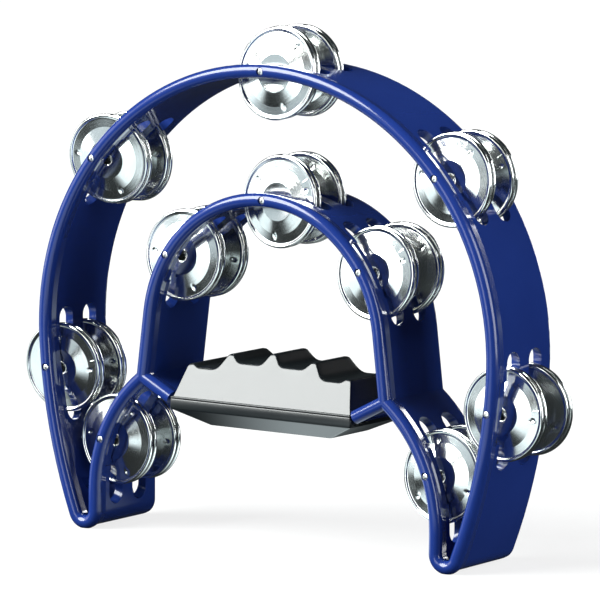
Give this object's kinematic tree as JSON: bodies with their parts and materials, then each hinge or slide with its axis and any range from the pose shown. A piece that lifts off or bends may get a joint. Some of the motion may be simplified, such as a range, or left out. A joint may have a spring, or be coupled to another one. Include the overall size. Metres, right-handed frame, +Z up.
{
  "type": "tambourine",
  "caption": "Hand-held crescent tambourine: a moulded plastic band with a finger grip inside and paired steel jingles that spin on pins.",
  "frame": {"origin": "bottom centre of the object's box, on the surface that the two leg tips stand on", "axes": "+Z up through the arc, +X across it from leg to leg, +Y through it from its rimmed front to its back"},
  "size_m": [0.3102, 0.053, 0.2584],
  "materials": {
    "frame_plastic": "gloss moulded plastic, deep blue",
    "grip_plastic": "semi-gloss black moulded plastic",
    "jingle_steel": "nickel-plated stamped steel with fine turned marks",
    "pin_steel": "bright drawn steel",
    "screw_steel": "zinc-plated steel"
  },
  "bodies": {
    "frame_body": {"frame": "frame_plastic", "grip_upper": "grip_plastic", "grip_lower": "grip_plastic", "grip_screws": "screw_steel", "pin_top": "pin_steel", "pin_upper_right": "pin_steel", "pin_upper_left": "pin_steel", "pin_right": "pin_steel", "pin_left": "pin_steel", "pin_arch_top": "pin_steel", "pin_arch_right": "pin_steel", "pin_arch_left": "pin_steel", "pin_leg_right": "pin_steel", "pin_leg_left": "pin_steel"},
    "jingle_top_a": {"jingle_top_a": "jingle_steel"},
    "jingle_top_b": {"jingle_top_b": "jingle_steel"},
    "jingle_top_c": {"jingle_top_c": "jingle_steel"},
    "jingle_top_d": {"jingle_top_d": "jingle_steel"},
    "jingle_upper_right_a": {"jingle_upper_right_a": "jingle_steel"},
    "jingle_upper_right_b": {"jingle_upper_right_b": "jingle_steel"},
    "jingle_upper_right_c": {"jingle_upper_right_c": "jingle_steel"},
    "jingle_upper_right_d": {"jingle_upper_right_d": "jingle_steel"},
    "jingle_upper_left_a": {"jingle_upper_left_a": "jingle_steel"},
    "jingle_upper_left_b": {"jingle_upper_left_b": "jingle_steel"},
    "jingle_upper_left_c": {"jingle_upper_left_c": "jingle_steel"},
    "jingle_upper_left_d": {"jingle_upper_left_d": "jingle_steel"},
    "jingle_right_a": {"jingle_right_a": "jingle_steel"},
    "jingle_right_b": {"jingle_right_b": "jingle_steel"},
    "jingle_right_c": {"jingle_right_c": "jingle_steel"},
    "jingle_right_d": {"jingle_right_d": "jingle_steel"},
    "jingle_left_a": {"jingle_left_a": "jingle_steel"},
    "jingle_left_b": {"jingle_left_b": "jingle_steel"},
    "jingle_left_c": {"jingle_left_c": "jingle_steel"},
    "jingle_left_d": {"jingle_left_d": "jingle_steel"},
    "jingle_arch_top_a": {"jingle_arch_top_a": "jingle_steel"},
    "jingle_arch_top_b": {"jingle_arch_top_b": "jingle_steel"},
    "jingle_arch_top_c": {"jingle_arch_top_c": "jingle_steel"},
    "jingle_arch_top_d": {"jingle_arch_top_d": "jingle_steel"},
    "jingle_arch_right_a": {"jingle_arch_right_a": "jingle_steel"},
    "jingle_arch_right_b": {"jingle_arch_right_b": "jingle_steel"},
    "jingle_arch_right_c": {"jingle_arch_right_c": "jingle_steel"},
    "jingle_arch_right_d": {"jingle_arch_right_d": "jingle_steel"},
    "jingle_arch_left_a": {"jingle_arch_left_a": "jingle_steel"},
    "jingle_arch_left_b": {"jingle_arch_left_b": "jingle_steel"},
    "jingle_arch_left_c": {"jingle_arch_left_c": "jingle_steel"},
    "jingle_arch_left_d": {"jingle_arch_left_d": "jingle_steel"},
    "jingle_leg_right_a": {"jingle_leg_right_a": "jingle_steel"},
    "jingle_leg_right_b": {"jingle_leg_right_b": "jingle_steel"},
    "jingle_leg_right_c": {"jingle_leg_right_c": "jingle_steel"},
    "jingle_leg_right_d": {"jingle_leg_right_d": "jingle_steel"},
    "jingle_leg_left_a": {"jingle_leg_left_a": "jingle_steel"},
    "jingle_leg_left_b": {"jingle_leg_left_b": "jingle_steel"},
    "jingle_leg_left_c": {"jingle_leg_left_c": "jingle_steel"},
    "jingle_leg_left_d": {"jingle_leg_left_d": "jingle_steel"}
  },
  "joints": [
    {"name": "top_a_spin", "type": "hinge", "parent": "frame_body", "child": "jingle_top_a", "pos_m": [-0.0007, -0.01284, 0.2353], "axis": [0, 0.9925, -0.1219], "continuous": true},
    {"name": "top_b_spin", "type": "hinge", "parent": "frame_body", "child": "jingle_top_b", "pos_m": [-0.0007, -0.00576, 0.2353], "axis": [0, 0.9958, -0.0915], "continuous": true},
    {"name": "top_c_spin", "type": "hinge", "parent": "frame_body", "child": "jingle_top_c", "pos_m": [-0.0007, 0.00796, 0.2353], "axis": [0, 0.9962, 0.0872], "continuous": true},
    {"name": "top_d_spin", "type": "hinge", "parent": "frame_body", "child": "jingle_top_d", "pos_m": [-0.0007, 0.01504, 0.2353], "axis": [0, 0.9979, 0.0654], "continuous": true},
    {"name": "upper_right_a_spin", "type": "hinge", "parent": "frame_body", "child": "jingle_upper_right_a", "pos_m": [0.10113, -0.01174, 0.18921], "axis": [0.0349, 0.998, -0.0523], "continuous": true},
    {"name": "upper_right_b_spin", "type": "hinge", "parent": "frame_body", "child": "jingle_upper_right_b", "pos_m": [0.10113, -0.00466, 0.18921], "axis": [0.0262, 0.9989, -0.0393], "continuous": true},
    {"name": "upper_right_c_spin", "type": "hinge", "parent": "frame_body", "child": "jingle_upper_right_c", "pos_m": [0.10113, 0.00786, 0.18921], "axis": [0.0174, 0.9944, 0.1045], "continuous": true},
    {"name": "upper_right_d_spin", "type": "hinge", "parent": "frame_body", "child": "jingle_upper_right_d", "pos_m": [0.10113, 0.01494, 0.18921], "axis": [0.013, 0.9968, 0.0785], "continuous": true},
    {"name": "upper_left_a_spin", "type": "hinge", "parent": "frame_body", "child": "jingle_upper_left_a", "pos_m": [-0.1034, -0.01254, 0.18653], "axis": [-0.0865, 0.9888, 0.1219], "continuous": true},
    {"name": "upper_left_b_spin", "type": "hinge", "parent": "frame_body", "child": "jingle_upper_left_b", "pos_m": [-0.1034, -0.00546, 0.18653], "axis": [-0.0651, 0.9937, 0.0915], "continuous": true},
    {"name": "upper_left_c_spin", "type": "hinge", "parent": "frame_body", "child": "jingle_upper_left_c", "pos_m": [-0.1034, 0.00716, 0.18653], "axis": [0.0348, 0.9956, 0.0872], "continuous": true},
    {"name": "upper_left_d_spin", "type": "hinge", "parent": "frame_body", "child": "jingle_upper_left_d", "pos_m": [-0.1034, 0.01424, 0.18653], "axis": [0.0261, 0.9975, 0.0654], "continuous": true},
    {"name": "right_a_spin", "type": "hinge", "parent": "frame_body", "child": "jingle_right_a", "pos_m": [0.13201, -0.01224, 0.07826], "axis": [0.0349, 0.9988, -0.0349], "continuous": true},
    {"name": "right_b_spin", "type": "hinge", "parent": "frame_body", "child": "jingle_right_b", "pos_m": [0.13201, -0.00516, 0.07826], "axis": [0.0262, 0.9993, -0.0262], "continuous": true},
    {"name": "right_c_spin", "type": "hinge", "parent": "frame_body", "child": "jingle_right_c", "pos_m": [0.13201, 0.00796, 0.07826], "axis": [-0.1388, 0.9879, 0.0698], "continuous": true},
    {"name": "right_d_spin", "type": "hinge", "parent": "frame_body", "child": "jingle_right_d", "pos_m": [0.13201, 0.01504, 0.07826], "axis": [-0.1044, 0.9932, 0.0523], "continuous": true},
    {"name": "left_a_spin", "type": "hinge", "parent": "frame_body", "child": "jingle_left_a", "pos_m": [-0.13204, -0.01254, 0.07849], "axis": [-0.0174, 0.996, 0.0872], "continuous": true},
    {"name": "left_b_spin", "type": "hinge", "parent": "frame_body", "child": "jingle_left_b", "pos_m": [-0.13204, -0.00546, 0.07849], "axis": [-0.0131, 0.9978, 0.0654], "continuous": true},
    {"name": "left_c_spin", "type": "hinge", "parent": "frame_body", "child": "jingle_left_c", "pos_m": [-0.13204, 0.00696, 0.07849], "axis": [0, 0.9976, 0.0698], "continuous": true},
    {"name": "left_d_spin", "type": "hinge", "parent": "frame_body", "child": "jingle_left_d", "pos_m": [-0.13204, 0.01404, 0.07849], "axis": [0, 0.9986, 0.0523], "continuous": true},
    {"name": "arch_top_a_spin", "type": "hinge", "parent": "frame_body", "child": "jingle_arch_top_a", "pos_m": [0.00072, -0.01174, 0.1721], "axis": [0.0697, 0.9962, -0.0523], "continuous": true},
    {"name": "arch_top_b_spin", "type": "hinge", "parent": "frame_body", "child": "jingle_arch_top_b", "pos_m": [0.00072, -0.00466, 0.1721], "axis": [0.0523, 0.9979, -0.0393], "continuous": true},
    {"name": "arch_top_c_spin", "type": "hinge", "parent": "frame_body", "child": "jingle_arch_top_c", "pos_m": [0.00072, 0.00856, 0.1721], "axis": [0, 0.9998, 0.0175], "continuous": true},
    {"name": "arch_top_d_spin", "type": "hinge", "parent": "frame_body", "child": "jingle_arch_top_d", "pos_m": [0.00072, 0.01564, 0.1721], "axis": [0, 0.9999, 0.0131], "continuous": true},
    {"name": "arch_right_a_spin", "type": "hinge", "parent": "frame_body", "child": "jingle_arch_right_a", "pos_m": [0.05782, -0.01194, 0.14084], "axis": [0.0348, 0.9956, -0.0872], "continuous": true},
    {"name": "arch_right_b_spin", "type": "hinge", "parent": "frame_body", "child": "jingle_arch_right_b", "pos_m": [0.05782, -0.00486, 0.14084], "axis": [0.0261, 0.9975, -0.0654], "continuous": true},
    {"name": "arch_right_c_spin", "type": "hinge", "parent": "frame_body", "child": "jingle_arch_right_c", "pos_m": [0.05782, 0.00836, 0.14084], "axis": [-0.1043, 0.9921, -0.0698], "continuous": true},
    {"name": "arch_right_d_spin", "type": "hinge", "parent": "frame_body", "child": "jingle_arch_right_d", "pos_m": [0.05782, 0.01544, 0.14084], "axis": [-0.0784, 0.9956, -0.0523], "continuous": true},
    {"name": "arch_left_a_spin", "type": "hinge", "parent": "frame_body", "child": "jingle_arch_left_a", "pos_m": [-0.05756, -0.01144, 0.14124], "axis": [0, 0.9986, -0.0523], "continuous": true},
    {"name": "arch_left_b_spin", "type": "hinge", "parent": "frame_body", "child": "jingle_arch_left_b", "pos_m": [-0.05756, -0.00436, 0.14124], "axis": [0, 0.9992, -0.0393], "continuous": true},
    {"name": "arch_left_c_spin", "type": "hinge", "parent": "frame_body", "child": "jingle_arch_left_c", "pos_m": [-0.05756, 0.00836, 0.14124], "axis": [0, 0.9994, -0.0349], "continuous": true},
    {"name": "arch_left_d_spin", "type": "hinge", "parent": "frame_body", "child": "jingle_arch_left_d", "pos_m": [-0.05756, 0.01544, 0.14124], "axis": [0, 0.9997, -0.0262], "continuous": true},
    {"name": "leg_right_a_spin", "type": "hinge", "parent": "frame_body", "child": "jingle_leg_right_a", "pos_m": [0.09759, -0.01244, 0.04492], "axis": [0.0696, 0.9951, -0.0698], "continuous": true},
    {"name": "leg_right_b_spin", "type": "hinge", "parent": "frame_body", "child": "jingle_leg_right_b", "pos_m": [0.09759, -0.00536, 0.04492], "axis": [0.0523, 0.9973, -0.0523], "continuous": true},
    {"name": "leg_right_c_spin", "type": "hinge", "parent": "frame_body", "child": "jingle_leg_right_c", "pos_m": [0.09759, 0.00796, 0.04492], "axis": [-0.0349, 0.998, 0.0523], "continuous": true},
    {"name": "leg_right_d_spin", "type": "hinge", "parent": "frame_body", "child": "jingle_leg_right_d", "pos_m": [0.09759, 0.01504, 0.04492], "axis": [-0.0262, 0.9989, 0.0393], "continuous": true},
    {"name": "leg_left_a_spin", "type": "hinge", "parent": "frame_body", "child": "jingle_leg_left_a", "pos_m": [-0.09759, -0.01314, 0.04492], "axis": [0.0523, 0.9986, 0], "continuous": true},
    {"name": "leg_left_b_spin", "type": "hinge", "parent": "frame_body", "child": "jingle_leg_left_b", "pos_m": [-0.09759, -0.00606, 0.04492], "axis": [0.0393, 0.9992, 0], "continuous": true},
    {"name": "leg_left_c_spin", "type": "hinge", "parent": "frame_body", "child": "jingle_leg_left_c", "pos_m": [-0.09759, 0.00666, 0.04492], "axis": [0.0174, 0.9992, 0.0349], "continuous": true},
    {"name": "leg_left_d_spin", "type": "hinge", "parent": "frame_body", "child": "jingle_leg_left_d", "pos_m": [-0.09759, 0.01374, 0.04492], "axis": [0.0131, 0.9996, 0.0262], "continuous": true}
  ]
}
